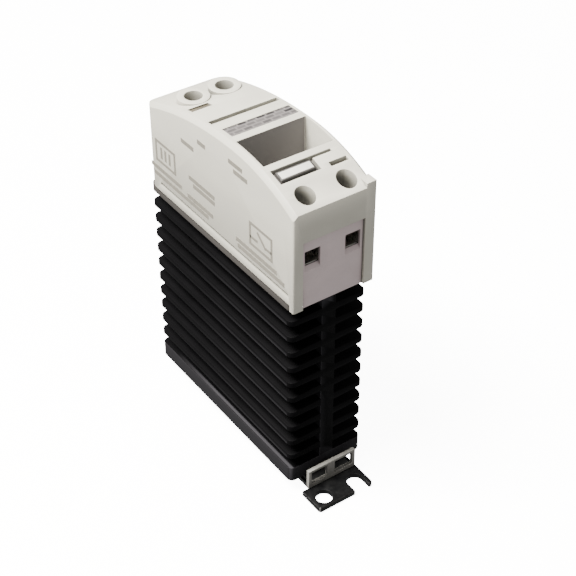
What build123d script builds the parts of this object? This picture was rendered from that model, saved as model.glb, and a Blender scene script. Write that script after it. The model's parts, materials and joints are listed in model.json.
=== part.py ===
from build123d import *
import os

# Slim solid state relay on a finned heat sink, for a 35 mm rail or a panel. Millimetres.
# X is the width, Y the length (load terminals at -Y), Z up. Origin: centre of the underside.

# Overall sizes
width = 22.5
length = 63.0
near = -length / 2
far = length / 2

# Feet under the heat sink
plate = 1.5
sink_z = 3.75
foot_reach = 39.8
foot_inner = 19.6
fixing_r = 2.15
near_hole = (-5.5, -36.7)
far_slot = (5.5, 36.7)
near_slot_x = 4.2
flange_near = -26.5
rail_gap = 1.1
hook_top = sink_z - rail_gap
latch_low = plate + 0.1
foot_half = 8.4
screw_r = 1.25
screw_head_r = 2.25
near_screw_y = (-27.4, -22.8)
far_screw_y = (23.4, 28.0)
latch_travel = 3.2

# Heat sink extrusion
sink_half = 10.95
sink_near = near + 1.6
base_thick = 4.4
top_thick = 2.4
fin_first = 8.35
fin_pitch = 4.73
fin_count = 10
fin_root = 2.1
fin_tip = 1.5
web_thick = 4.0
skirt_z = 60.9

# Housing
wall = 1.5
lip_drop = 1.7
near_top = 25.0
crown_top = 30.9
far_top = 23.0
crown_y = -8.0
pocket_half = 9.5
pocket_near = -17.6
pocket_far = -6.9
pocket_floor = 18.5
pocket_wall = 1.2

# Load terminals, heights above the skirt
load_x = 5.6
load_y = -27.9
load_cage = (-29.8, -25.2)
load_entry = (9.7, 13.9)
load_bar = (14.0, 15.2)
load_travel = 3.0
load_well_r = 2.4
load_ledge = (20.4, 21.0)
load_head_r = 2.1
load_shank_r = 1.3

# Control terminals, heights above the skirt
ctrl_x = 4.4
ctrl_y = 19.4
ctrl_cage = (17.0, 21.8)
ctrl_entry = (9.8, 12.8)
ctrl_bar = (13.0, 13.8)
ctrl_travel = 2.5
ctrl_well_r = 2.3
ctrl_boss = 28.3
ctrl_ledge = (17.65, 18.1)
ctrl_head_r = 2.0
ctrl_shank_r = 1.4

# Circuit board
board_z = 12.0
board_thick = 1.2
board_half = 9.0
board_near = -13.0
board_far = 16.2
thread_gap = 0.05

os.makedirs("parts", exist_ok=True)


def block(x0, x1, y0, y1, z0, z1):
    centre = Location(((x0 + x1) / 2, (y0 + y1) / 2, (z0 + z1) / 2))
    return centre * Box(x1 - x0, y1 - y0, z1 - z0)


def rod(x, y, z0, z1, r):
    return Location((x, y, (z0 + z1) / 2)) * Cylinder(r, z1 - z0)


def save(shape, name):
    pieces = shape if isinstance(shape, list) else shape.solids()
    body = pieces[0] if len(pieces) == 1 else Compound(children=list(pieces))
    export_step(body, "parts/" + name + ".step")


def along_x(face, half):
    return extrude(face, amount=half, both=True)


def side_face(points):
    wire = Polyline([Vector(0, y, z) for y, z in points], close=True)
    return make_face(wire)


def arch_face(inset, bottom):
    # two arcs that meet with a common tangent at the crown
    y0 = near + inset
    y1 = far - inset
    z0 = skirt_z + near_top - inset
    zc = skirt_z + crown_top - inset
    z1 = skirt_z + far_top - inset
    near_drop = zc - z0
    near_run = crown_y - y0
    far_drop = zc - z1
    far_run = y1 - crown_y
    near_r = (near_run ** 2 + near_drop ** 2) / (2 * near_drop)
    far_r = (far_run ** 2 + far_drop ** 2) / (2 * far_drop)
    near_mid = zc - near_r + (near_r ** 2 - (near_run / 2) ** 2) ** 0.5
    far_mid = zc - far_r + (far_r ** 2 - (far_run / 2) ** 2) ** 0.5
    start = Vector(0, y0, z0)
    crown = Vector(0, crown_y, zc)
    end = Vector(0, y1, z1)
    first = ThreePointArc(start, Vector(0, crown_y - near_run / 2, near_mid), crown)
    second = ThreePointArc(crown, Vector(0, crown_y + far_run / 2, far_mid), end)
    base = Polyline(end, Vector(0, y1, bottom), Vector(0, y0, bottom), start)
    return make_face(Wire([first.edge(), second.edge()] + list(base.edges())))


# Heat sink: web, tapered fins on both sides, thick base and top plates
def fin_face(z, side):
    tip = side * sink_half
    root = side * (web_thick / 2 - 0.2)
    pts = [(root, z - fin_root / 2), (tip, z - fin_tip / 2), (tip, z + fin_tip / 2), (root, z + fin_root / 2)]
    return make_face(Polyline([Vector(x, 0, h) for x, h in pts], close=True))


sink_len = far - sink_near
sink_mid = (far + sink_near) / 2
fins = []
for i in range(fin_count):
    for side in (-1, 1):
        fin = extrude(fin_face(sink_z + fin_first + i * fin_pitch, side), amount=sink_len / 2, both=True)
        fins.append(Location((0, sink_mid, 0)) * fin)
sink = block(-web_thick / 2, web_thick / 2, sink_near, far, sink_z, skirt_z)
sink += block(-sink_half, sink_half, sink_near, far, sink_z, sink_z + base_thick)
sink += block(-sink_half, sink_half, sink_near, far, skirt_z - top_thick, skirt_z)
sink += fins
sink_plan = RectangleRounded(2 * sink_half, sink_len, 1.6)
sink &= Location((0, sink_mid, sink_z)) * extrude(sink_plan, amount=skirt_z - sink_z)
for y in near_screw_y + far_screw_y:
    sink -= rod(0, y, sink_z - 1, sink_z + 3.5, screw_r)
for y in (-26.6, 24.6):
    sink -= rod(0, y, skirt_z - 6.0, skirt_z + 1, 1.25)
save(sink, "heat_sink")

# Housing shell: arched block, hollow, with pocket, screwdriver wells and wire windows
outer = along_x(arch_face(0, skirt_z - lip_drop), width / 2)
rim = [e for e in outer.edges() if e.center().Z > skirt_z + 20 and abs(e.center().X) > 1]
outer = chamfer(rim, 1.1)
outer = fillet(outer.edges().filter_by(Axis.Z).group_by(Axis.Y)[-1], 3.5)
outer = fillet(outer.edges().filter_by(Axis.Z).group_by(Axis.Y)[0], 0.5)
outer -= block(-12, 12, sink_near, far + 1, skirt_z - lip_drop - 1, skirt_z)
hollow = along_x(arch_face(wall, skirt_z - lip_drop - 1), width / 2 - wall)
hollow = fillet(hollow.edges().filter_by(Axis.Z).group_by(Axis.Y)[-1], 2.8)
posts = block(8.6, width / 2, near, near + 3.0, skirt_z - lip_drop, skirt_z + near_top + 1.2)
posts -= block(-12, 12, sink_near, far, skirt_z - 5, skirt_z)
posts -= hollow
extra = block(-10.7, 10.7, pocket_near - pocket_wall, pocket_far + pocket_wall,
              skirt_z + pocket_floor - pocket_wall, skirt_z + 40)
for x in (-load_x, load_x):
    extra += rod(x, load_y, skirt_z + load_ledge[0], skirt_z + 40, load_well_r + 0.9)
for x in (-ctrl_x, ctrl_x):
    extra += rod(x, ctrl_y, skirt_z + ctrl_ledge[0], skirt_z + 40, ctrl_well_r + 0.9)
extra += block(-0.8, 0.8, near + wall, -22.6, skirt_z + 8.6, skirt_z + 40)
extra += block(-0.7, 0.7, 17.0, far - wall, skirt_z + 8.0, skirt_z + 40)
housing = (outer - hollow) + (extra & outer)
for x in (-ctrl_x, ctrl_x):
    housing += rod(x, ctrl_y, skirt_z + 20.0, skirt_z + ctrl_boss, 4.0) - hollow
housing += posts
housing -= block(-pocket_half, pocket_half, pocket_near, pocket_far, skirt_z + pocket_floor, skirt_z + 40)
for x in (-load_x, load_x):
    housing -= rod(x, load_y, skirt_z + load_ledge[1], skirt_z + 40, load_well_r)
    housing -= rod(x, load_y, skirt_z + 15, skirt_z + 40, load_shank_r + 0.3)
for x in (-ctrl_x, ctrl_x):
    housing -= rod(x, ctrl_y, skirt_z + ctrl_ledge[1], skirt_z + 40, ctrl_well_r)
    housing -= rod(x, ctrl_y, skirt_z + 15, skirt_z + 40, ctrl_shank_r + 0.3)
# windows for the two terminal panels
housing -= block(-8.6, 8.5, near - 1, near + wall + 0.01, skirt_z - lip_drop - 1, skirt_z + 17.0)
housing -= block(-6.6, 6.6, far - wall - 0.01, far + 1, skirt_z + 0.8, skirt_z + 15.5)
# groove behind the label, seats for label, marker strip and status window
top_cut = along_x(arch_face(0.7, skirt_z), 12)
strip_cut = along_x(arch_face(1.2, skirt_z), 12)
groove = block(-9.5, 9.5, 3.3, 4.9, skirt_z, skirt_z + 40) - strip_cut
label_seat = block(-9.0, 9.4, -4.5, -0.3, skirt_z, skirt_z + 40) - along_x(arch_face(0.35, skirt_z), 12)
strip_seat = block(-9.0, 1.9, -23.6, -19.4, skirt_z, skirt_z + 40) - strip_cut
strip_seat += block(1.5, 7.2, -20.2, -19.4, skirt_z, skirt_z + 40) - strip_cut
strip_seat += block(4.4, 9.2, -23.9, -22.7, skirt_z, skirt_z + 40) - strip_cut
housing -= groove
housing -= label_seat
housing -= strip_seat
housing -= block(-9.0, -3.4, 12.4, 14.6, skirt_z + 20, skirt_z + 40)
# shallow groove along each long side, just above the skirt
for side in (-1, 1):
    housing -= block(side * width / 2 - 0.5, side * width / 2 + 0.5, near + 2, far - 6, skirt_z + 2.2, skirt_z + 2.9)
save(housing, "housing")

# Inserts in the housing
skin = along_x(arch_face(0, skirt_z), 12)
label = block(-8.9, 9.3, -4.4, -0.4, skirt_z, skirt_z + 40) & (
    along_x(arch_face(0.08, skirt_z), 12) - along_x(arch_face(0.35, skirt_z), 12))
save(label, "rating_label")
strip = block(-8.2, 1.1, -22.8, -20.2, skirt_z, skirt_z + 40) & (skin - strip_cut)
strip += block(-9.0, 1.9, -23.6, -19.4, skirt_z, skirt_z + 40) & (along_x(arch_face(0.95, skirt_z), 12) - strip_cut)
save(strip, "marker_strip")
window = block(-8.9, -3.5, 12.5, 14.5, skirt_z, skirt_z + 40) & (
    along_x(arch_face(0.2, skirt_z), 12) - along_x(arch_face(1.2, skirt_z), 12))
save(window, "status_window")
save(rod(-6.2, 12.6, skirt_z + board_z + board_thick + 3.2, skirt_z + 26.6, 1.2), "light_pipe")

panel = block(-8.55, 8.45, near + 0.6, near + wall, skirt_z - lip_drop, skirt_z + 16.95)
# the lower edge of each load entry slopes down and outwards, to lead the wire in
sill_top = skirt_z + load_entry[0] + 0.1
sill = along_x(side_face([(near + 0.5, sill_top - 1.5), (near + wall + 0.1, sill_top - 0.1),
                          (near + wall + 0.1, sill_top), (near + 0.5, sill_top)]), 2.1)
for x in (-load_x, load_x):
    panel -= block(x - 2.1, x + 2.1, near, near + 2, skirt_z + load_entry[0], skirt_z + load_entry[1])
    panel -= Location((x, 0, 0)) * sill
save(panel, "load_terminal_panel")
rear = block(-6.55, 6.55, far - wall, far - 0.6, skirt_z + 0.85, skirt_z + 15.45)
for x in (-ctrl_x, ctrl_x):
    rear -= block(x - 1.5, x + 1.5, far - 2, far, skirt_z + ctrl_entry[0], skirt_z + ctrl_entry[1])
save(rear, "control_terminal_panel")


# Rising clamp cages, their screws and the fixed bars
def cage(x, y, ends, bar, drop, inner, outer_half, thick, hole_r):
    low = skirt_z + bar[0] - drop
    top = skirt_z + bar[1] + 0.3
    body = block(x - outer_half, x + outer_half, ends[0], ends[1], low - thick, top + thick)
    body -= block(x - inner, x + inner, ends[0] - 1, ends[1] + 1, low, top)
    body = fillet(body.edges().filter_by(Axis.Y), 0.3)
    body -= rod(x, y, top - 1, top + thick + 1, hole_r)
    return body


def terminal_screw(x, y, tip, ledge, head, shank_r, head_r, slot):
    body = rod(x, y, skirt_z + tip, skirt_z + ledge + 0.05, shank_r)
    body += rod(x, y, skirt_z + ledge + 0.05, skirt_z + head, head_r)
    body = chamfer(body.edges().group_by(Axis.Z)[-1], 0.3)
    body -= block(x - head_r, x + head_r, y - slot, y + slot, skirt_z + head - 1.0, skirt_z + head + 1)
    body -= block(x - slot, x + slot, y - 1.5, y + 1.5, skirt_z + head - 0.9, skirt_z + head + 1)
    return body


for name, x in (("left", -load_x), ("right", load_x)):
    clamp = cage(x, load_y, load_cage, load_bar, 4.3, 2.5, 3.4, 1.2, load_shank_r + thread_gap)
    save(clamp, "load_clamp_" + name)
    screw = terminal_screw(x, load_y, load_bar[1] + 0.05, load_ledge[1], 23.0, load_shank_r, load_head_r, 0.4)
    save(screw, "load_screw_" + name)
for name, x in (("left", -ctrl_x), ("right", ctrl_x)):
    clamp = cage(x, ctrl_y, ctrl_cage, ctrl_bar, 3.6, 1.9, 2.6, 0.9, ctrl_shank_r + thread_gap)
    save(clamp, "control_clamp_" + name)
    screw = terminal_screw(x, ctrl_y, ctrl_bar[1] + 0.05, ctrl_ledge[1], 20.0, ctrl_shank_r, ctrl_head_r, 0.35)
    save(screw, "control_screw_" + name)

module_top = 7.0
bars = []
for x in (-load_x, load_x):
    bar = block(x - 2.1, x + 2.1, -29.2, -20.6, skirt_z + load_bar[0], skirt_z + load_bar[1])
    bar += block(x - 2.1, x + 2.1, -21.8, -20.6, skirt_z + module_top, skirt_z + load_bar[1])
    bar += block(x - 2.1, x + 2.1, -21.8, -15.4, skirt_z + module_top, skirt_z + module_top + 1.2)
    bar -= rod(x, -17.6, skirt_z + module_top - 1, skirt_z + module_top + 2, 1.3)
    bars.append(bar.solid())
save(bars, "load_busbars")
bars = []
for x in (-ctrl_x, ctrl_x):
    bar = block(x - 1.6, x + 1.6, 14.6, 22.6, skirt_z + ctrl_bar[0] + 0.2, skirt_z + ctrl_bar[1])
    bar += block(x - 1.6, x + 1.6, 16.4, 22.6, skirt_z + ctrl_bar[0], skirt_z + ctrl_bar[1])
    bars.append(bar.solid())
save(bars, "control_bars")

# Power module: pad, base plate, ceramic, dies, case, screws
save(block(-9.0, 9.0, -29.0, 27.6, skirt_z, skirt_z + 0.2)
     - rod(0, -26.6, skirt_z - 1, skirt_z + 1, 1.6) - rod(0, 24.6, skirt_z - 1, skirt_z + 1, 1.6), "thermal_pad")
save(block(-9.0, 9.0, -29.0, 27.6, skirt_z + 0.2, skirt_z + 2.2)
     - rod(0, -26.6, skirt_z - 1, skirt_z + 3, 1.3) - rod(0, 24.6, skirt_z - 1, skirt_z + 3, 1.3), "module_base")
save(block(-7.0, 7.0, -20.0, 18.0, skirt_z + 2.2, skirt_z + 2.8), "ceramic_substrate")
dies = []
for y in (-9.0, 7.0):
    dies.append(block(-4.5, 4.5, y - 4.5, y + 4.5, skirt_z + 2.8, skirt_z + 3.2).solid())
save(dies, "thyristor_dies")
case = block(-8.8, 8.8, -23.0, 20.6, skirt_z + 2.2, skirt_z + module_top)
case = fillet(case.edges().filter_by(Axis.Z), 1.0)
case -= block(-7.6, 7.6, -21.6, 19.2, skirt_z + 2.0, skirt_z + 5.6)
for x in (-load_x, load_x):
    case -= rod(x, -17.6, skirt_z + 5, skirt_z + 8, 1.3)
save(case, "module_case")


def pan_screw(x, y, seat, tip, shank, head_r, head_h):
    body = rod(x, y, tip, seat, shank) + rod(x, y, seat, seat + head_h, head_r)
    body = fillet(body.edges().group_by(Axis.Z)[-1], head_h * 0.4)
    body -= block(x - head_r, x + head_r, y - 0.35, y + 0.35, seat + head_h * 0.45, seat + head_h + 1)
    return body.solid()


save([pan_screw(0, y, skirt_z + 2.2, skirt_z - 5.5, 1.25, 2.4, 1.8) for y in (-26.6, 24.6)], "module_screws")
save([pan_screw(x, -17.6, skirt_z + 8.2, skirt_z + 5.7, 1.3, 2.0, 1.5) for x in (-load_x, load_x)], "busbar_screws")

# Circuit board with its parts
bz = skirt_z + board_z
bt = bz + board_thick
pins = [(x, y) for x in (-3.0, 3.0) for y in (-6.0, -3.5)]
board = block(-board_half, board_half, board_near, board_far, bz, bt)
board = fillet(board.edges().filter_by(Axis.Z), 1.0)
save(board, "circuit_board")
save([rod(x, y, skirt_z + module_top, bz, 0.35).solid() for x, y in pins], "gate_pins")
save([rod(x, y, skirt_z + module_top, bz, 1.8).solid() for x, y in ((-6.2, 13.2), (6.2, 13.2), (0, -10.5))], "board_pillars")
save([rod(-6.2, 12.6, bt, bt + 2.0, 1.5).fuse(Location((-6.2, 12.6, bt + 2.0)) * Sphere(1.15)).solid()], "status_lamp")
opto = block(-3.2, 3.2, 9.4, 13.6, bt + 0.4, bt + 3.8)
opto = chamfer(opto.edges().group_by(Axis.Z)[-1], 0.4)
save(opto, "opto_coupler")
legs = []
for x in (-2.5, 0.0, 2.5):
    for y0, y1 in ((8.7, 9.4), (13.6, 14.3)):
        leg = block(x - 0.3, x + 0.3, y0, y1, bt + 1.6, bt + 1.9)
        side_y = y0 if y0 < 10 else y1 - 0.3
        leg += block(x - 0.3, x + 0.3, side_y, side_y + 0.3, bt, bt + 1.9)
        legs.append(leg.solid())
save(legs, "opto_legs")
save(fillet(block(-8.2, -2.8, -3.8, 8.2, bt, bt + 9.5).edges().filter_by(Axis.Z), 0.6), "snubber_capacitor")
resistor = Location((1.2, 3.2, bt + 1.9)) * Rotation(90, 0, 0) * Cylinder(1.6, 9.0)
save(fillet(resistor.edges(), 0.4), "snubber_resistor")
disc = Location((6.4, 3.0, bt + 6.0)) * Rotation(0, 90, 0) * Cylinder(4.6, 3.4)
save(fillet(disc.edges(), 1.0), "varistor")
stalks = [rod(6.4, y, bt, bt + 1.9, 0.35).solid() for y in (0.5, 5.5)]
save(stalks, "varistor_legs")
save(block(4.2, 8.2, 9.0, 14.0, bt, bt + 1.6), "driver_chip")
chips = [block(x - 0.8, x + 0.8, y - 0.45, y + 0.45, bt, bt + 0.6).solid()
         for x, y in ((-6.0, -6.0), (-6.0, -8.0), (-2.0, -8.0), (2.0, -8.0), (6.0, -6.0), (6.0, -8.0))]
save(chips, "chip_resistors")


# Stamped feet: near foot with hole, open slot and finger; far foot with hook and tab
def channel(y0, y1):
    body = block(-foot_half, foot_half, y0, y1, 0, plate)
    for side in (-1, 1):
        inner = side * (foot_half - plate)
        outer = side * foot_half
        body += block(min(inner, outer), max(inner, outer), y0, y1, 0, sink_z)
    return body


def countersunk(y):
    body = rod(0, y, plate, sink_z + 3.4, screw_r)
    body += Location((0, y, plate / 2)) * Rotation(180, 0, 0) * Cone(screw_r, screw_head_r, plate)
    body -= block(-screw_head_r, screw_head_r, y - 0.3, y + 0.3, -1, 0.6)
    return body.solid()


def screw_holes(body, places):
    for y in places:
        body -= rod(0, y, -1, plate + 1, screw_r)
        body -= Location((0, y, plate / 2)) * Rotation(180, 0, 0) * Cone(screw_r, screw_head_r, plate)
    return body


foot = channel(flange_near, -foot_inner)
foot += block(-6.5, 7.6, near - 0.9, flange_near, 0, plate)
plate_out = block(-9.0, 7.6, -foot_reach, near - 0.7, 0, plate)
foot += fillet(plate_out.edges().filter_by(Axis.Z).group_by(Axis.Y)[0], 0.8)
foot -= rod(near_hole[0], near_hole[1], -1, 3, fixing_r)
foot -= rod(near_slot_x, near_hole[1], -1, 3, fixing_r)
foot -= block(near_slot_x - fixing_r, near_slot_x + fixing_r, -foot_reach - 1, near_hole[1], -1, 3)
foot = screw_holes(foot, near_screw_y)
save(foot, "near_foot")

hook = channel(foot_inner, far - 1.0)
hook += block(-7.0, 7.0, foot_inner, foot_inner + plate, 0, hook_top)
hook += block(-7.0, 7.0, 16.2, foot_inner + plate, plate, hook_top)
hook += fillet(block(1.0, 9.0, far - 2.0, foot_reach, 0, plate).edges().filter_by(Axis.Z).group_by(Axis.Y)[-1], 0.8)
hook -= rod(far_slot[0], far_slot[1], -1, 3, fixing_r)
hook -= block(far_slot[0] - fixing_r, far_slot[0] + fixing_r, far_slot[1], foot_reach + 1, -1, 3)
hook = screw_holes(hook, far_screw_y)
save(hook, "far_foot")
save([countersunk(y) for y in near_screw_y + far_screw_y], "foot_screws")

# Rail latch: slotted strip, bevelled nose, upturned tab with two windows
latch = block(-6.0, 6.0, near - 0.1, -16.0, latch_low, hook_top)
latch = chamfer(latch.edges().filter_by(Axis.X).group_by(Axis.Y)[-1].group_by(Axis.Z)[0], 0.9)
latch += block(-7.2, 7.2, near - 1.1, near - 0.1, latch_low, 7.4)
latch -= block(-6.3, -1.5, near - 2, near, 2.8, 6.6)
latch -= block(0.8, 6.3, near - 2, near, 2.8, 6.6)
slot_half = screw_r + 0.3
slot_end = near_screw_y[1] + latch_travel
latch -= rod(0, near_screw_y[0], 0, 4, slot_half)
latch -= rod(0, slot_end, 0, 4, slot_half)
latch -= block(-slot_half, slot_half, near_screw_y[0], slot_end, 0, 4)
save(latch, "rail_latch")
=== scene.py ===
import json
import math

import bpy
from mathutils import Matrix, Vector

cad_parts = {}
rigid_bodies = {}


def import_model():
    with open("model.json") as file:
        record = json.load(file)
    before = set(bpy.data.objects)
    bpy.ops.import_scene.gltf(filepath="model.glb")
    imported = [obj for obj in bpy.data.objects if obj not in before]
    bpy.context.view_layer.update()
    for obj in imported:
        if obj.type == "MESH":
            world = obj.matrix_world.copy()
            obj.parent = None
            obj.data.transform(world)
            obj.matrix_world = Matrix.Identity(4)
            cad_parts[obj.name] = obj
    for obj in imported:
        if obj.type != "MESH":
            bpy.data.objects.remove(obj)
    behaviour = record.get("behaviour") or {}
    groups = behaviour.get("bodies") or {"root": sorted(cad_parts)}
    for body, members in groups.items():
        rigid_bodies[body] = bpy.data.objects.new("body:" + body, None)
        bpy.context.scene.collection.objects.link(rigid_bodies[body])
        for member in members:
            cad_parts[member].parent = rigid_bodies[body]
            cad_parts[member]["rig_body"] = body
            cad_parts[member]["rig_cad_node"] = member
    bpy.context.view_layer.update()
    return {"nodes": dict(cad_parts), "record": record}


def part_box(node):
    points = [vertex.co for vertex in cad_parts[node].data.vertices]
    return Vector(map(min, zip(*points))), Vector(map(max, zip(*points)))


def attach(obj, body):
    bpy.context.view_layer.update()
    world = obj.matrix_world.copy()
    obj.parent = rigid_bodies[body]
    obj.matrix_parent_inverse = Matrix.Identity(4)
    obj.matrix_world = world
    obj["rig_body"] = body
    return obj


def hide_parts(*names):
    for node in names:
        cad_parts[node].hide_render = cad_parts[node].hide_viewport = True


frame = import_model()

bl_info = {
    "name": "Slim Relay With Heat Sink",
    "version": (1, 0, 0),
    "blender": (4, 5, 0),
    "location": "View3D > Sidebar > Relay",
    "description": "Dresses a rail-mounted solid state relay with its housing, terminals and heat sink",
    "category": "Object",
}

MM = 0.001
HOUSING_LOW, HOUSING_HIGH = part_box("housing")
SINK_LOW, SINK_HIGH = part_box("heat_sink")
SKIRT = SINK_HIGH.z

# Plates at the bottom and the top of the heat sink; its finish paints both lighter, as painted light
BASE_THICK = 4.4 * MM
TOP_THICK = 2.4 * MM

# Shade in the screwdriver wells: its reach from the axis, which way it leans, and how far below the
# housing's highest point it is full and gone
WELL_REACH = 2.43 * MM
WELL_LEAN = Vector((0.82, -0.57))
WELL_DARK = 6.6 * MM
WELL_CLEAR = 4.2 * MM

# Edges sharper than this are rounded
SHARP_ANGLE = math.radians(28)

# Side print, in millimetres: how far it stands out, and the step between strokes that cross
PRINT_LIFT = 0.05
PRINT_STEP = 0.008

CAMERA_AZIMUTH = math.radians(-35.05)
CAMERA_ELEVATION = math.radians(38.25)
CAMERA_ROLL = math.radians(-0.10)
CAMERA_PLACE = Vector((-0.1552, -0.2346, 0.2632))


# ---------------------------------------------------------------- settings

class HousingSettings(bpy.types.PropertyGroup):
    shell: bpy.props.FloatVectorProperty(
        name="Shell colour", description="Warm light grey of the moulded housing",
        default=(0.500, 0.478, 0.405), size=3, min=0, max=1, subtype="COLOR")
    panel: bpy.props.FloatVectorProperty(
        name="Panel colour", description="Slightly pinker grey of the terminal panels",
        default=(0.565, 0.468, 0.462), size=3, min=0, max=1, subtype="COLOR")
    # Colour of the painted shade inside the pocket across the top
    pocket_shade: bpy.props.FloatVectorProperty(
        name="Pocket colour", description="Darker grey inside the pocket across the top",
        default=(0.125, 0.116, 0.108), size=3, min=0, max=1, subtype="COLOR")
    ink: bpy.props.FloatVectorProperty(
        name="Print colour", description="Grey ink of the wiring diagram on the long side",
        default=(0.20, 0.184, 0.152), size=3, min=0, max=1, subtype="COLOR")
    edge: bpy.props.FloatProperty(
        name="Edge radius", description="Rounding of the moulded edges",
        default=0.22 * MM, min=0.02 * MM, max=0.6 * MM, subtype="DISTANCE", unit="LENGTH", precision=5)


class SinkSettings(bpy.types.PropertyGroup):
    anodising: bpy.props.FloatVectorProperty(
        name="Anodising colour", description="Black dye of the extrusion",
        default=(0.0022, 0.0021, 0.0023), size=3, min=0, max=1, subtype="COLOR")
    edge: bpy.props.FloatProperty(
        name="Fin edge radius", description="Rounding of the fin tips",
        default=0.3 * MM, min=0.05 * MM, max=0.6 * MM, subtype="DISTANCE", unit="LENGTH", precision=5)


class StageSettings(bpy.types.PropertyGroup):
    lens: bpy.props.FloatProperty(
        name="Focal length", description="Camera lens on a 36 mm sensor", default=89.25, min=20, max=300)
    floor: bpy.props.FloatVectorProperty(
        name="Floor colour", description="Pale paper sweep", default=(0.95, 0.95, 0.945),
        size=3, min=0, max=1, subtype="COLOR")
    glow: bpy.props.FloatProperty(
        name="Floor glow", description="Light that comes up through the lit table", default=11, min=0, max=30)


# ---------------------------------------------------------------- node helpers

class Recipe:
    """One material under construction, with short ways to add and join nodes."""

    def __init__(self, name, metallic=0.0, roughness=0.5, colour=(0.5, 0.5, 0.5)):
        self.material = bpy.data.materials.new(name)
        self.material.use_nodes = True
        self.tree = self.material.node_tree
        self.shader = self.tree.nodes["Principled BSDF"]
        self.shader.inputs["Metallic"].default_value = metallic
        self.shader.inputs["Roughness"].default_value = roughness
        self.shader.inputs["Base Color"].default_value = (*colour, 1)
        self.coords = self.add("ShaderNodeTexCoord").outputs["Object"]

    def add(self, kind, **settings):
        node = self.tree.nodes.new(kind)
        for key, value in settings.items():
            setattr(node, key, value)
        return node

    def join(self, output, socket):
        self.tree.links.new(output, socket)

    def stretched(self, scale):
        node = self.add("ShaderNodeMapping")
        node.inputs["Scale"].default_value = scale
        self.join(self.coords, node.inputs["Vector"])
        return node.outputs["Vector"]

    def noise(self, scale, detail=3.0, roughness=0.5, stretch=None):
        node = self.add("ShaderNodeTexNoise")
        node.inputs["Scale"].default_value = scale
        node.inputs["Detail"].default_value = detail
        node.inputs["Roughness"].default_value = roughness
        self.join(self.stretched(stretch) if stretch else self.coords, node.inputs["Vector"])
        return node.outputs["Fac"]

    def ramp(self, value, low, high, dark=0.0, light=1.0):
        node = self.add("ShaderNodeMapRange")
        node.inputs["From Min"].default_value = low
        node.inputs["From Max"].default_value = high
        node.inputs["To Min"].default_value = dark
        node.inputs["To Max"].default_value = light
        self.join(value, node.inputs["Value"])
        return node.outputs["Result"]

    def mix(self, factor, first, second):
        node = self.add("ShaderNodeMix", data_type="RGBA")
        self.join(factor, node.inputs[0])
        for socket, colour in ((node.inputs[6], first), (node.inputs[7], second)):
            if isinstance(colour, tuple):
                socket.default_value = (*colour, 1)
            else:
                self.join(colour, socket)
        return node.outputs[2]

    def maths(self, operation, first, second):
        node = self.add("ShaderNodeMath", operation=operation)
        for socket, value in ((node.inputs[0], first), (node.inputs[1], second)):
            if isinstance(value, (int, float)):
                socket.default_value = value
            else:
                self.join(value, socket)
        return node.outputs[0]

    def times(self, first, second):
        return self.maths("MULTIPLY", first, second)

    def above(self, value, limit):
        return self.maths("GREATER_THAN", value, limit)

    def below(self, value, limit):
        return self.maths("LESS_THAN", value, limit)

    def between(self, value, low, high):
        return self.times(self.above(value, low), self.below(value, high))

    def edges(self, low, high):
        """0 on flats and in hollows, up to 1 along sharp outer corners."""
        node = self.add("ShaderNodeNewGeometry")
        return self.ramp(node.outputs["Pointiness"], low, high)

    def openness(self, distance):
        """1 in the open, less where other surfaces stand within the distance."""
        node = self.add("ShaderNodeAmbientOcclusion", samples=8)
        node.inputs["Distance"].default_value = distance
        return node.outputs["AO"]

    def place(self):
        """X, Y and Z of the shaded point, in metres."""
        split = self.add("ShaderNodeSeparateXYZ")
        self.join(self.coords, split.inputs[0])
        return split.outputs

    def inside(self, low, high):
        """1 within a box that stands open at the top, 0 outside it."""
        place = self.place()
        mask = self.above(place[2], low.z)
        for axis in (0, 1):
            mask = self.times(mask, self.between(place[axis], low[axis], high[axis]))
        return mask

    def well_shade(self):
        """1 down the left of the load terminals' screwdriver wells, 0 at their rims and elsewhere."""
        place = self.place()
        wells = 0.0
        for node in ("load_screw_left", "load_screw_right"):
            low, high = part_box(node)
            right = self.maths("SUBTRACT", place[0], (low.x + high.x) / 2)
            back = self.maths("SUBTRACT", place[1], (low.y + high.y) / 2)
            spread = self.maths("ADD", self.times(right, right), self.times(back, back))
            lean = self.maths("ADD", self.times(right, WELL_LEAN.x), self.times(back, WELL_LEAN.y))
            level = self.maths("ADD", place[2], lean)
            shade = self.ramp(level, HOUSING_HIGH.z - WELL_DARK, HOUSING_HIGH.z - WELL_CLEAR, 1.0, 0.0)
            wells = self.maths("ADD", wells, self.times(shade, self.below(spread, WELL_REACH ** 2)))
        return wells

    def bump(self, height, distance, strength=1.0, under=None):
        node = self.add("ShaderNodeBump")
        node.inputs["Strength"].default_value = strength
        node.inputs["Distance"].default_value = distance
        self.join(height, node.inputs["Height"])
        if under is not None:
            self.join(under, node.inputs["Normal"])
        return node.outputs["Normal"]

    def colour(self, output):
        self.join(output, self.shader.inputs["Base Color"])

    def roughness(self, output):
        self.join(output, self.shader.inputs["Roughness"])

    def normal(self, output):
        self.join(output, self.shader.inputs["Normal"])


def pocket_box(skin=0.14 * MM):
    """Where the pocket across the top is painted with shade: its opening grown to its floor and walls, all
    but the one on the right.
    """
    spaces = {space["name"]: space["box_m"] for space in frame["record"]["physics"]["openings"]}
    low, high = (Vector(corner) for corner in spaces["top_pocket"])
    return low - Vector((skin, skin, skin)), high + Vector((-skin, skin, skin))


def tint(colour, factor):
    return tuple(min(1.0, c * factor) for c in colour)


# ---------------------------------------------------------------- finishes

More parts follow.
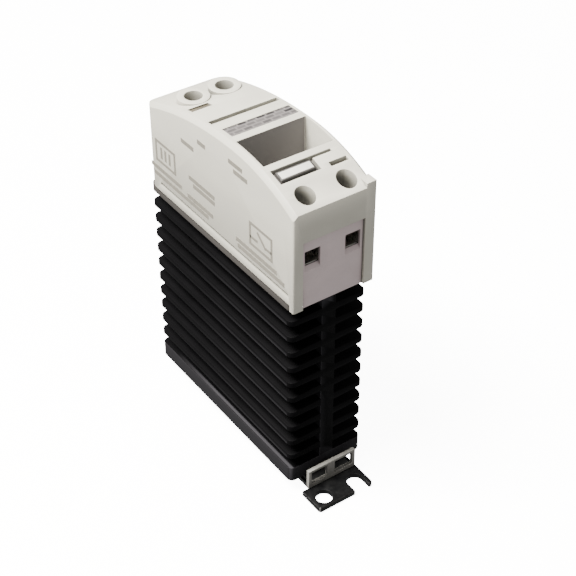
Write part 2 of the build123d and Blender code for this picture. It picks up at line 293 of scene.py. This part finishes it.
def moulded_plastic(name, colour, grain=1.0, gloss=0.46, corner_shade=0.4, hollow_shade=1.0, pocket_shade=None):
    """Textured injection moulding with flow marks, and painted shade in corners and in deep holes, each
    darkened by its own factor.

    With a pocket colour, the pocket and the screwdriver wells across the top are painted with shade inside.
    """
    r = Recipe(name, roughness=gloss, colour=colour)
    r.shader.inputs["Specular IOR Level"].default_value = 0.42
    flow = r.noise(90, 4, 0.55, (1.0, 0.35, 1.6))
    body = r.mix(r.ramp(flow, 0.3, 0.7), tint(colour, 0.94), tint(colour, 1.05))
    # Painted shade: corners darken where other surfaces stand within 1.6 mm
    corner = r.mix(r.ramp(r.openness(1.6 * MM), 0.3, 0.8), tint(colour, corner_shade), body)
    if hollow_shade < 1:
        # Painted shade: deep holes darken where other surfaces stand within 9 mm
        corner = r.mix(r.ramp(r.openness(9 * MM), 0.3, 0.8), tint(colour, hollow_shade), corner)
    if pocket_shade:
        # Painted shade: the pocket's floor and walls take the dark pocket colour
        corner = r.mix(r.inside(*pocket_box()), corner, pocket_shade)
    wear_and_painted_light = r.mix(r.edges(0.56, 0.66), corner, tint(colour, 1.06))
    if pocket_shade:
        # Painted shade down the left of the screwdriver wells
        wear_and_painted_light = r.mix(r.well_shade(), wear_and_painted_light, tint(colour, 0.12))
    r.colour(wear_and_painted_light)
    r.roughness(r.ramp(r.noise(700, 3, 0.6), 0.25, 0.75, gloss - 0.07, gloss + 0.08))
    fine = r.noise(5200, 2, 0.6)
    broad = r.noise(260, 2, 0.5)
    under = r.bump(broad, 0.02 * MM, 0.35)
    r.normal(r.bump(fine, 0.012 * MM, 0.55 * grain, under))
    return r.material


def black_anodise(name, colour):
    """Black-dyed extrusion: die lines along its length, a faint bloom, painted light on its base and top
    plates, and greyer edges that are partly thinner dye and partly painted highlight.
    """
    r = Recipe(name, roughness=0.46, colour=colour)
    r.shader.inputs["Specular IOR Level"].default_value = 0.025
    lines = r.noise(1500, 3, 0.7, (1.0, 0.015, 1.0))
    bloom = r.noise(120, 4, 0.6)
    dye = r.mix(r.ramp(bloom, 0.3, 0.75), colour, tint(colour, 1.5))
    streaked = r.mix(r.ramp(lines, 0.45, 0.8, 0.0, 0.5), dye, tint(colour, 1.9))
    height = r.place()[2]
    # Painted reflection of the pale floor: the base plate is lighter
    base = r.mix(r.below(height, SINK_LOW.z + BASE_THICK), streaked, tint(colour, 7.5))
    # Painted light: the top plate is lighter
    plates_painted_lighter = r.mix(r.above(height, SKIRT - TOP_THICK), base, (0.060, 0.055, 0.051))
    # Greyer edges: partly thinner dye, partly painted highlight along the fin tips
    r.colour(r.mix(r.edges(0.56, 0.66), plates_painted_lighter, tint(colour, 14.0)))
    r.roughness(r.ramp(lines, 0.3, 0.7, 0.4, 0.56))
    under = r.bump(lines, 0.015 * MM, 0.5)
    r.normal(r.bump(r.noise(3600, 2, 0.6), 0.006 * MM, 0.5, under))
    return r.material


def coated_steel(name):
    """Stamped steel with a thin black coat, rubbed through along its edges."""
    r = Recipe(name, roughness=0.36, colour=(0.004, 0.004, 0.004))
    r.shader.inputs["Specular IOR Level"].default_value = 0.12
    patch = r.noise(420, 4, 0.65)
    coat = r.mix(r.ramp(patch, 0.35, 0.7), (0.0025, 0.0025, 0.0028), (0.006, 0.006, 0.006))
    rub = r.times(r.edges(0.55, 0.68), r.ramp(r.noise(900, 4, 0.7), 0.45, 0.62))
    r.colour(r.mix(rub, coat, (0.16, 0.155, 0.15)))
    r.roughness(r.ramp(patch, 0.3, 0.7, 0.3, 0.5))
    r.normal(r.bump(r.noise(1800, 3, 0.6), 0.02 * MM, 0.35))
    return r.material


def zinc_plate(name, colour=(0.62, 0.62, 0.60), scale=520):
    """Bright zinc over rolled steel: fine spangle, rolling lines and dull patches."""
    r = Recipe(name, metallic=1.0, roughness=0.32, colour=colour)
    cells = r.add("ShaderNodeTexVoronoi")
    cells.inputs["Scale"].default_value = scale
    r.join(r.coords, cells.inputs["Vector"])
    spangle = r.ramp(cells.outputs["Distance"], 0.0, 0.7)
    patch = r.noise(240, 4, 0.6)
    metal = r.mix(spangle, tint(colour, 0.92), tint(colour, 1.07))
    r.colour(r.mix(r.ramp(patch, 0.45, 0.75), metal, tint(colour, 0.74)))
    r.roughness(r.ramp(patch, 0.3, 0.75, 0.24, 0.46))
    r.normal(r.bump(r.noise(2600, 3, 0.6, (1.0, 0.06, 1.0)), 0.008 * MM, 0.5))
    return r.material


def dull_zinc(name, colour, painted_strip_shade):
    """Dull chalky zinc on the latch's tab, with edges lighter partly from wear and partly as painted
    highlight, and painted shade on the strip that slides behind it.
    """
    r = Recipe(name, metallic=0.3, roughness=0.55, colour=colour)
    patch = r.noise(520, 4, 0.6)
    chalk = r.mix(r.ramp(patch, 0.35, 0.7), tint(colour, 0.78), tint(colour, 1.15))
    tab_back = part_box("rail_latch")[0].y + 1.02 * MM
    # Lighter edges: partly wear, partly painted highlight
    wear_and_painted_light = r.mix(r.edges(0.52, 0.62), chalk, tint(colour, 1.7))
    # Painted shade: the strip behind the tab takes the dark colour
    r.colour(r.mix(r.above(r.place()[1], tab_back), wear_and_painted_light, painted_strip_shade))
    r.roughness(r.ramp(patch, 0.3, 0.75, 0.42, 0.6))
    r.normal(r.bump(r.noise(2600, 3, 0.6, (1.0, 0.06, 1.0)), 0.008 * MM, 0.5))
    return r.material


def nickel_screw(name):
    """Nickel-plated steel with turned marks, and painted shade in its drive slots."""
    r = Recipe(name, metallic=1.0, roughness=0.26, colour=(0.66, 0.64, 0.59))
    wear_and_painted_light = r.noise(1400, 4, 0.65)
    plate_colour = r.mix(r.ramp(wear_and_painted_light, 0.35, 0.7), (0.70, 0.68, 0.63), (0.52, 0.50, 0.46))
    # Painted shade: slots and crevices darken where other surfaces stand within 0.6 mm
    r.colour(r.mix(r.ramp(r.openness(0.6 * MM), 0.3, 0.9), (0.12, 0.115, 0.10), plate_colour))
    r.roughness(r.ramp(wear_and_painted_light, 0.3, 0.7, 0.2, 0.4))
    r.normal(r.bump(r.noise(5200, 2, 0.5), 0.006 * MM, 0.5))
    return r.material


def tinned_copper(name):
    """Tin over copper: a soft grey metal with a warm tone where the tin is thin."""
    r = Recipe(name, metallic=1.0, roughness=0.34, colour=(0.70, 0.69, 0.66))
    thin = r.noise(600, 4, 0.65)
    r.colour(r.mix(r.ramp(thin, 0.55, 0.75), (0.70, 0.69, 0.66), (0.66, 0.50, 0.38)))
    r.roughness(r.ramp(thin, 0.3, 0.7, 0.28, 0.45))
    r.normal(r.bump(r.noise(2400, 3, 0.6), 0.008 * MM, 0.4))
    return r.material


def solder_resist(name):
    """Green laminate with the copper runs showing through as a paler, raised pattern."""
    r = Recipe(name, roughness=0.3, colour=(0.01, 0.10, 0.045))
    tracks = r.add("ShaderNodeTexBrick", offset=0.5)
    tracks.inputs["Scale"].default_value = 420
    tracks.inputs["Mortar Size"].default_value = 0.035
    tracks.inputs["Color1"].default_value = (0, 0, 0, 1)
    tracks.inputs["Color2"].default_value = (0, 0, 0, 1)
    tracks.inputs["Mortar"].default_value = (1, 1, 1, 1)
    r.join(r.coords, tracks.inputs["Vector"])
    r.colour(r.mix(tracks.outputs["Color"], (0.010, 0.085, 0.040), (0.035, 0.20, 0.085)))
    r.roughness(r.ramp(r.noise(900, 3, 0.6), 0.3, 0.7, 0.24, 0.42))
    r.normal(r.bump(tracks.outputs["Color"], 0.02 * MM, 0.5))
    return r.material


def dipped(name, colour, gloss=0.3, grain=900):
    """Lacquered, dipped or fired part: gentle mottling and a soft uneven skin."""
    r = Recipe(name, roughness=gloss, colour=colour)
    mottle = r.noise(grain, 3, 0.6)
    r.colour(r.mix(r.ramp(mottle, 0.3, 0.7), tint(colour, 0.85), tint(colour, 1.12)))
    r.roughness(r.ramp(mottle, 0.3, 0.7, max(0.05, gloss - 0.08), gloss + 0.1))
    r.normal(r.bump(r.noise(grain * 1.7, 2, 0.5), 0.015 * MM, 0.35))
    return r.material


def printed_film(name, base, ink, row=1.35 * MM):
    """Printed label: rows of plain blank bars, no lettering."""
    r = Recipe(name, roughness=0.36, colour=base)
    bars = r.add("ShaderNodeTexBrick", offset=0.37, squash=1.0)
    bars.inputs["Scale"].default_value = 1.0
    bars.inputs["Brick Width"].default_value = 2.6 * MM
    bars.inputs["Row Height"].default_value = row
    bars.inputs["Mortar Size"].default_value = 0.24 * MM
    bars.inputs["Color1"].default_value = (1, 1, 1, 1)
    bars.inputs["Color2"].default_value = (0.35, 0.35, 0.35, 1)
    bars.inputs["Mortar"].default_value = (0, 0, 0, 1)
    r.join(r.coords, bars.inputs["Vector"])
    r.colour(r.mix(bars.outputs["Color"], base, ink))
    r.roughness(r.ramp(r.noise(1200, 3, 0.6), 0.3, 0.7, 0.3, 0.45))
    r.normal(r.bump(r.noise(3000, 2, 0.5), 0.004 * MM, 0.5))
    return r.material


def seated_marker(name, face, painted_rim_shade):
    """White writing strip standing in a sunk rim; the rim and the strip's side walls carry painted shade."""
    low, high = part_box("marker_strip")
    rim = 1.2 * MM
    r = Recipe(name, roughness=0.4, colour=face)
    place = r.place()
    across = r.between(place[0], low.x + rim, high.x - rim)
    along = r.between(place[1], low.y + rim, high.y - rim)
    scuffed = r.mix(r.ramp(r.noise(600, 4, 0.6), 0.35, 0.75), tint(face, 0.9), tint(face, 1.04))
    # Painted shade: outside the strip's inner face the colour is the dark rim shade
    r.colour(r.mix(r.times(across, along), painted_rim_shade, scuffed))
    r.roughness(r.ramp(r.noise(900, 3, 0.6), 0.3, 0.7, 0.32, 0.5))
    r.normal(r.bump(r.noise(4200, 2, 0.6), 0.01 * MM, 0.4))
    return r.material


def smoked_lens(name, colour, gloss=0.12):
    """Tinted polished plastic with a clear skin, faintly hazed by wiping."""
    r = Recipe(name, roughness=gloss, colour=colour)
    r.shader.inputs["Coat Weight"].default_value = 0.4
    r.colour(r.mix(r.ramp(r.noise(700, 3, 0.6), 0.3, 0.7), tint(colour, 0.8), tint(colour, 1.25)))
    r.roughness(r.ramp(r.noise(1500, 4, 0.6), 0.3, 0.7, gloss, gloss + 0.12))
    return r.material


def clear_acrylic(name):
    """Water-clear light pipe, slightly frosted where it was cut."""
    r = Recipe(name, roughness=0.08, colour=(0.95, 0.96, 0.95))
    r.shader.inputs["Transmission Weight"].default_value = 0.85
    r.shader.inputs["IOR"].default_value = 1.49
    r.roughness(r.ramp(r.noise(1100, 4, 0.6), 0.3, 0.7, 0.05, 0.22))
    r.normal(r.bump(r.noise(2600, 2, 0.5), 0.004 * MM, 0.4))
    return r.material


# ---------------------------------------------------------------- modelling helpers

def pick_only(*objects):
    bpy.ops.object.select_all(action="DESELECT")
    for o in objects:
        o.select_set(True)
    bpy.context.view_layer.objects.active = objects[-1]


def set_finish(obj, material):
    obj.data.materials.clear()
    obj.data.materials.append(material)
    for face in obj.data.polygons:
        face.material_index = 0


def dress(node, material):
    """Gives a frame node that is kept as it is its material."""
    set_finish(frame["nodes"][node], material)


def settle(obj, name, body, material, smooth=32):
    """Names a finished piece, puts its place into its mesh and lets it ride."""
    obj.name = name
    obj.data.name = name
    pick_only(obj)
    bpy.ops.object.transform_apply(location=True, rotation=True, scale=True)
    bpy.ops.object.shade_smooth_by_angle(angle=math.radians(smooth))
    set_finish(obj, material)
    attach(obj, body)
    return obj


def apply_modifier(obj, kind, **settings):
    modifier = obj.modifiers.new(kind.title(), kind)
    for key, value in settings.items():
        setattr(modifier, key, value)
    pick_only(obj)
    bpy.ops.object.modifier_apply(modifier=modifier.name)


def rounded_copy(node, name, body, material, radius, segments=2, windows=False):
    """Copies a frame node, merges its triangles, and rounds every sharp edge.

    A face with windows in it keeps its triangles, because one merged face can't go round two holes.
    """
    source = frame["nodes"][node]
    pick_only(source)
    bpy.ops.object.duplicate()
    piece = bpy.context.view_layer.objects.active
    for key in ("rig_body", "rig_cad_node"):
        if key in piece:
            del piece[key]
    piece.parent = None
    bpy.ops.object.mode_set(mode="EDIT")
    bpy.ops.mesh.select_all(action="SELECT")
    bpy.ops.mesh.remove_doubles(threshold=0.002 * MM)
    if not windows:
        bpy.ops.mesh.dissolve_limited(angle_limit=math.radians(0.6), delimit={"SHARP"})
    bpy.ops.object.mode_set(mode="OBJECT")
    apply_modifier(piece, "BEVEL", width=radius, segments=segments, limit_method="ANGLE",
                   angle_limit=SHARP_ANGLE, use_clamp_overlap=True, miter_outer="MITER_ARC")
    settle(piece, name, body, material)
    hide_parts(node)
    return piece


# ---------------------------------------------------------------- pieces

class RELAY_OT_housing(bpy.types.Operator):
    """Moulded shell with its rounded edges, and the two terminal panels"""
    bl_idname = "relay.housing"
    bl_label = "Housing and Panels"

    def execute(self, context):
        s = context.scene.relay_housing
        # The factors and the pocket colour set painted shade in holes, the pocket and the wells
        shell = moulded_plastic("moulded_shell", tuple(s.shell), hollow_shade=0.3, pocket_shade=tuple(s.pocket_shade))
        panel = moulded_plastic("moulded_panel", tuple(s.panel), 0.8, hollow_shade=0.35)
        rounded_copy("housing", "housing_shell", "relay", shell, s.edge, 2)
        rounded_copy("load_terminal_panel", "load_panel", "relay", panel, 0.15 * MM)
        rounded_copy("control_terminal_panel", "control_panel", "relay", panel, 0.15 * MM)
        return {"FINISHED"}


class RELAY_OT_inserts(bpy.types.Operator):
    """Marker strip, blank rating label, status window and light pipe"""
    bl_idname = "relay.inserts"
    bl_label = "Top Inserts"

    def execute(self, context):
        # The last colour is painted shade on the marker's rim
        marker = seated_marker("marker_white", (0.66, 0.64, 0.58), (0.05, 0.046, 0.042))
        film = printed_film("rating_film", (0.14, 0.128, 0.124), (0.012, 0.011, 0.011))
        lens = smoked_lens("smoked_window", (0.10, 0.085, 0.06))
        rounded_copy("marker_strip", "marker_strip_piece", "relay", marker, 0.12 * MM)
        rounded_copy("rating_label", "rating_label_film", "relay", film, 0.02 * MM, 1)
        rounded_copy("status_window", "status_window_lens", "relay", lens, 0.12 * MM)
        dress("light_pipe", clear_acrylic("light_pipe_acrylic"))
        dress("status_lamp", smoked_lens("lamp_lens", (0.50, 0.17, 0.03), 0.2))
        return {"FINISHED"}


def ink_stroke(start, end, width, lift, side):
    """One printed stroke on a long side, from (y, z) to (y, z) above the skirt, all in millimetres."""
    run = math.hypot(end[0] - start[0], end[1] - start[1])
    slope = math.atan2(end[1] - start[1], end[0] - start[0])
    middle = ((start[0] + end[0]) / 2 * MM, (start[1] + end[1]) / 2 * MM + SKIRT)
    bpy.ops.object.select_all(action="DESELECT")
    bpy.ops.mesh.primitive_cube_add(size=1, location=(side, *middle), rotation=(slope, 0, 0))
    stroke = bpy.context.view_layer.objects.active
    stroke.scale = (lift * MM, (run + width) * MM, width * MM)
    bpy.ops.object.transform_apply(location=True, rotation=True, scale=True)
    return stroke


def frame_strokes(low, high, width=0.8):
    corners = [low, (high[0], low[1]), high, (low[0], high[1])]
    return [(corners[i], corners[i - 1], width) for i in range(4)]


def bar_row(start, end, height, width=1.2, gap=0.8):
    """A row of plain bars of uneven length along Y."""
    row, y, step = [], start, 0
    while y - 0.6 > end:
        bar = (2.3, 1.4, 3.1, 1.0, 2.0)[step % 5]
        row.append(((y, height), (max(y - bar, end), height), width))
        y -= bar + gap
        step += 1
    return row


def diagram_strokes():
    """Generic wiring diagram: an open contact and a coil, each in a frame, with rows of plain bars."""
    contact = frame_strokes((-23.0, 8.2), (-14.4, 14.0))
    contact += [((-22.6, 10.2), (-20.4, 10.2), 0.8), ((-20.4, 10.2), (-17.6, 12.6), 0.8),
                ((-17.0, 10.2), (-14.8, 10.2), 0.8)]
    coil = frame_strokes((18.2, 9.2), (26.8, 14.8))
    coil += [((y, 10.8), (y, 13.2), 0.9) for y in (20.6, 22.5, 24.4)]
    rows = []
    for start, end, height in ((-9.0, -24.4, 6.0), (-9.6, -27.4, 4.4), (11.2, 0.8, 12.0), (9.4, 0.4, 10.4),
                               (29.0, 15.2, 6.8), (12.2, 2.0, 6.2), (28.2, 3.0, 4.8), (-6.6, -11.4, 26.2),
                               (-8.6, -13.6, 24.4), (14.0, 9.6, 21.0), (6.6, 3.0, 24.4)):
        rows += bar_row(start, end, height)
    return contact + coil + rows


class RELAY_OT_side_print(bpy.types.Operator):
    """Printed wiring diagram and bar rows on the long side"""
    bl_idname = "relay.side_print"
    bl_label = "Side Print"

    def execute(self, context):
        ink = dipped("diagram_ink", tuple(context.scene.relay_housing.ink), 0.5, 2600)
        face = HOUSING_LOW.x
        strokes = []
        for i, (start, end, width) in enumerate(diagram_strokes()):
            strokes.append(ink_stroke(start, end, width, PRINT_LIFT + PRINT_STEP * (i % 4), face))
        pick_only(*strokes)
        bpy.ops.object.join()
        piece = context.view_layer.objects.active
        apply_modifier(piece, "BEVEL", width=0.012 * MM, segments=1, limit_method="NONE")
        settle(piece, "side_diagram", "relay", ink)
        return {"FINISHED"}


class RELAY_OT_heat_sink(bpy.types.Operator):
    """Black anodised extrusion with rounded fin tips"""
    bl_idname = "relay.heat_sink"
    bl_label = "Heat Sink"

    def execute(self, context):
        s = context.scene.relay_sink
        black = black_anodise("black_anodise", tuple(s.anodising))
        rounded_copy("heat_sink", "finned_extrusion", "relay", black, s.edge, 3)
        return {"FINISHED"}


class RELAY_OT_feet(bpy.types.Operator):
    """Stamped feet, their countersunk screws and the zinc rail latch"""
    bl_idname = "relay.feet"
    bl_label = "Feet and Latch"

    def execute(self, context):
        steel = coated_steel("black_steel")
        # The last colour is painted shade on the strip behind the latch's tab
        zinc = dull_zinc("zinc_spring_steel", (0.19, 0.183, 0.165), (0.008, 0.008, 0.008))
        rounded_copy("near_foot", "near_foot_stamping", "relay", steel, 0.2 * MM)
        rounded_copy("far_foot", "far_foot_stamping", "relay", steel, 0.2 * MM)
        screw = zinc_plate("zinc_screw", (0.5, 0.5, 0.48))
        rounded_copy("foot_screws", "foot_screw_set", "relay", screw, 0.08 * MM)
        rounded_copy("rail_latch", "rail_latch_strip", "latch", zinc, 0.14 * MM, windows=True)
        return {"FINISHED"}


class RELAY_OT_terminals(bpy.types.Operator):
    """Terminal screws, rising clamps and the fixed bars at both ends"""
    bl_idname = "relay.terminals"
    bl_label = "Terminals"

    def execute(self, context):
        nickel = nickel_screw("nickel_screw")
        clamp = zinc_plate("clamp_zinc", (0.60, 0.58, 0.53), 700)
        bar = tinned_copper("tinned_bar")
        for kind in ("load", "control"):
            for side in ("left", "right"):
                screw = f"{kind}_screw_{side}"
                cage = f"{kind}_clamp_{side}"
                rounded_copy(screw, screw + "_head", screw, nickel, 0.1 * MM)
                rounded_copy(cage, cage + "_cage", cage, clamp, 0.1 * MM)
        dress("load_busbars", bar)
        dress("control_bars", bar)
        dress("busbar_screws", nickel)
        return {"FINISHED"}


class RELAY_OT_power_module(bpy.types.Operator):
    """Power module on its pad: base, ceramic, dies, case and screws"""
    bl_idname = "relay.power_module"
    bl_label = "Power Module"

    def execute(self, context):
        dress("thermal_pad", dipped("silicone_pad", (0.42, 0.44, 0.46), 0.7, 1400))
        dress("module_base", zinc_plate("nickel_base", (0.60, 0.57, 0.50), 300))
        dress("ceramic_substrate", dipped("alumina", (0.82, 0.81, 0.77), 0.5, 2000))
        dress("thyristor_dies", dipped("die_silicon", (0.08, 0.09, 0.11), 0.15, 2400))
        # The last factor sets painted shade in corners
        dress("module_case", moulded_plastic("case_black", (0.025, 0.025, 0.027), 1.0, 0.5, 0.7))
        dress("module_screws", nickel_screw("module_screw_nickel"))
        return {"FINISHED"}


class RELAY_OT_board(bpy.types.Operator):
    """Circuit board and the parts that stand on it"""
    bl_idname = "relay.board"
    bl_label = "Circuit Board"

    def execute(self, context):
        dress("circuit_board", solder_resist("solder_resist"))
        # The last factor sets painted shade in corners
        chip = moulded_plastic("chip_epoxy", (0.02, 0.02, 0.021), 0.7, 0.45, 0.7)
        for node in ("opto_coupler", "driver_chip", "chip_resistors", "board_pillars"):
            dress(node, chip)
        lead = tinned_copper("lead_wire")
        for node in ("opto_legs", "varistor_legs", "gate_pins"):
            dress(node, lead)
        dress("snubber_capacitor", dipped("film_box", (0.55, 0.40, 0.05), 0.4))
        dress("snubber_resistor", dipped("resistor_lacquer", (0.20, 0.33, 0.40), 0.4))
        dress("varistor", dipped("varistor_epoxy", (0.02, 0.07, 0.30), 0.28))
        return {"FINISHED"}


def soft_light(name, place, target, size, power, colour=(1, 1, 1)):
    data = bpy.data.lights.new(name, "AREA")
    data.shape = "RECTANGLE"
    data.size, data.size_y = size
    data.energy = power
    data.color = colour
    lamp = bpy.data.objects.new(name, data)
    bpy.context.scene.collection.objects.link(lamp)
    lamp.location = place
    lamp.rotation_mode = "QUATERNION"
    lamp.rotation_quaternion = (Vector(target) - Vector(place)).to_track_quat("-Z", "Y")
    return lamp


class RELAY_OT_stage(bpy.types.Operator):
    """Pale glowing floor, one soft light and the camera"""
    bl_idname = "relay.stage"
    bl_label = "Stage"

    def execute(self, context):
        s = context.scene.relay_stage
        bpy.ops.object.select_all(action="DESELECT")
        bpy.ops.mesh.primitive_plane_add(size=12, location=(0, 0, -0.02 * MM))
        floor = context.view_layer.objects.active
        floor.name = "floor"
        paper = Recipe("floor_paper", roughness=0.8, colour=tuple(s.floor))
        mottle = paper.ramp(paper.noise(4, 3, 0.5), 0.3, 0.7)
        paper.colour(paper.mix(mottle, tint(tuple(s.floor), 0.99), tuple(s.floor)))
        paper.shader.inputs["Emission Color"].default_value = (1, 1, 0.99, 1)
        paper.shader.inputs["Emission Strength"].default_value = s.glow
        set_finish(floor, paper.material)
        floor.visible_diffuse = False
        floor.visible_glossy = False

        world = bpy.data.worlds.new("studio")
        context.scene.world = world
        world.use_nodes = True
        sky = world.node_tree.nodes["Background"]
        sky.inputs["Color"].default_value = (1, 1, 1, 1)
        sky.inputs["Strength"].default_value = 0.6

        aim = (0, 0, 0.045)
        soft_light("key_light", (-0.45, 0.14, 0.95), aim, (0.45, 0.45), 60, (1.0, 0.985, 0.95))

        level = math.cos(CAMERA_ELEVATION)
        back = Vector((math.sin(CAMERA_AZIMUTH) * level, -math.cos(CAMERA_AZIMUTH) * level,
                       math.sin(CAMERA_ELEVATION)))
        right = Vector((math.cos(CAMERA_AZIMUTH), math.sin(CAMERA_AZIMUTH), 0))
        up = back.cross(right)
        tilted = right * math.cos(CAMERA_ROLL) + up * math.sin(CAMERA_ROLL)
        upward = up * math.cos(CAMERA_ROLL) - right * math.sin(CAMERA_ROLL)
        lens = bpy.data.cameras.new("camera")
        lens.sensor_width = 36
        lens.lens = s.lens
        lens.clip_start = 0.01
        camera = bpy.data.objects.new("camera", lens)
        context.scene.collection.objects.link(camera)
        turn = Matrix((tilted, upward, back)).transposed().to_4x4()
        camera.matrix_world = Matrix.Translation(CAMERA_PLACE) @ turn
        context.scene.camera = camera
        return {"FINISHED"}


class RELAY_PT_panel(bpy.types.Panel):
    """Lists the relay's pieces in the sidebar"""
    bl_idname = "RELAY_PT_panel"
    bl_label = "Slim Relay"
    bl_space_type = "VIEW_3D"
    bl_region_type = "UI"
    bl_category = "Relay"

    def draw(self, context):
        column = self.layout.column(align=True)
        for operator in OPERATORS:
            column.operator(operator.bl_idname)
        for name in ("relay_housing", "relay_sink", "relay_stage"):
            settings = getattr(context.scene, name)
            box = self.layout.box()
            for prop in settings.bl_rna.properties:
                if not prop.is_readonly and prop.identifier != "name":
                    box.prop(settings, prop.identifier)


OPERATORS = (
    RELAY_OT_housing, RELAY_OT_inserts, RELAY_OT_side_print, RELAY_OT_heat_sink, RELAY_OT_feet,
    RELAY_OT_terminals, RELAY_OT_power_module, RELAY_OT_board, RELAY_OT_stage,
)
CLASSES = (HousingSettings, SinkSettings, StageSettings, *OPERATORS, RELAY_PT_panel)


def register():
    for cls in CLASSES:
        bpy.utils.register_class(cls)
    bpy.types.Scene.relay_housing = bpy.props.PointerProperty(type=HousingSettings)
    bpy.types.Scene.relay_sink = bpy.props.PointerProperty(type=SinkSettings)
    bpy.types.Scene.relay_stage = bpy.props.PointerProperty(type=StageSettings)


def unregister():
    del bpy.types.Scene.relay_stage
    del bpy.types.Scene.relay_sink
    del bpy.types.Scene.relay_housing
    for cls in reversed(CLASSES):
        bpy.utils.unregister_class(cls)


def main():
    register()
    for operator in OPERATORS:
        group, name = operator.bl_idname.split(".")
        getattr(getattr(bpy.ops, group), name)()


if __name__ == "__main__":
    main()
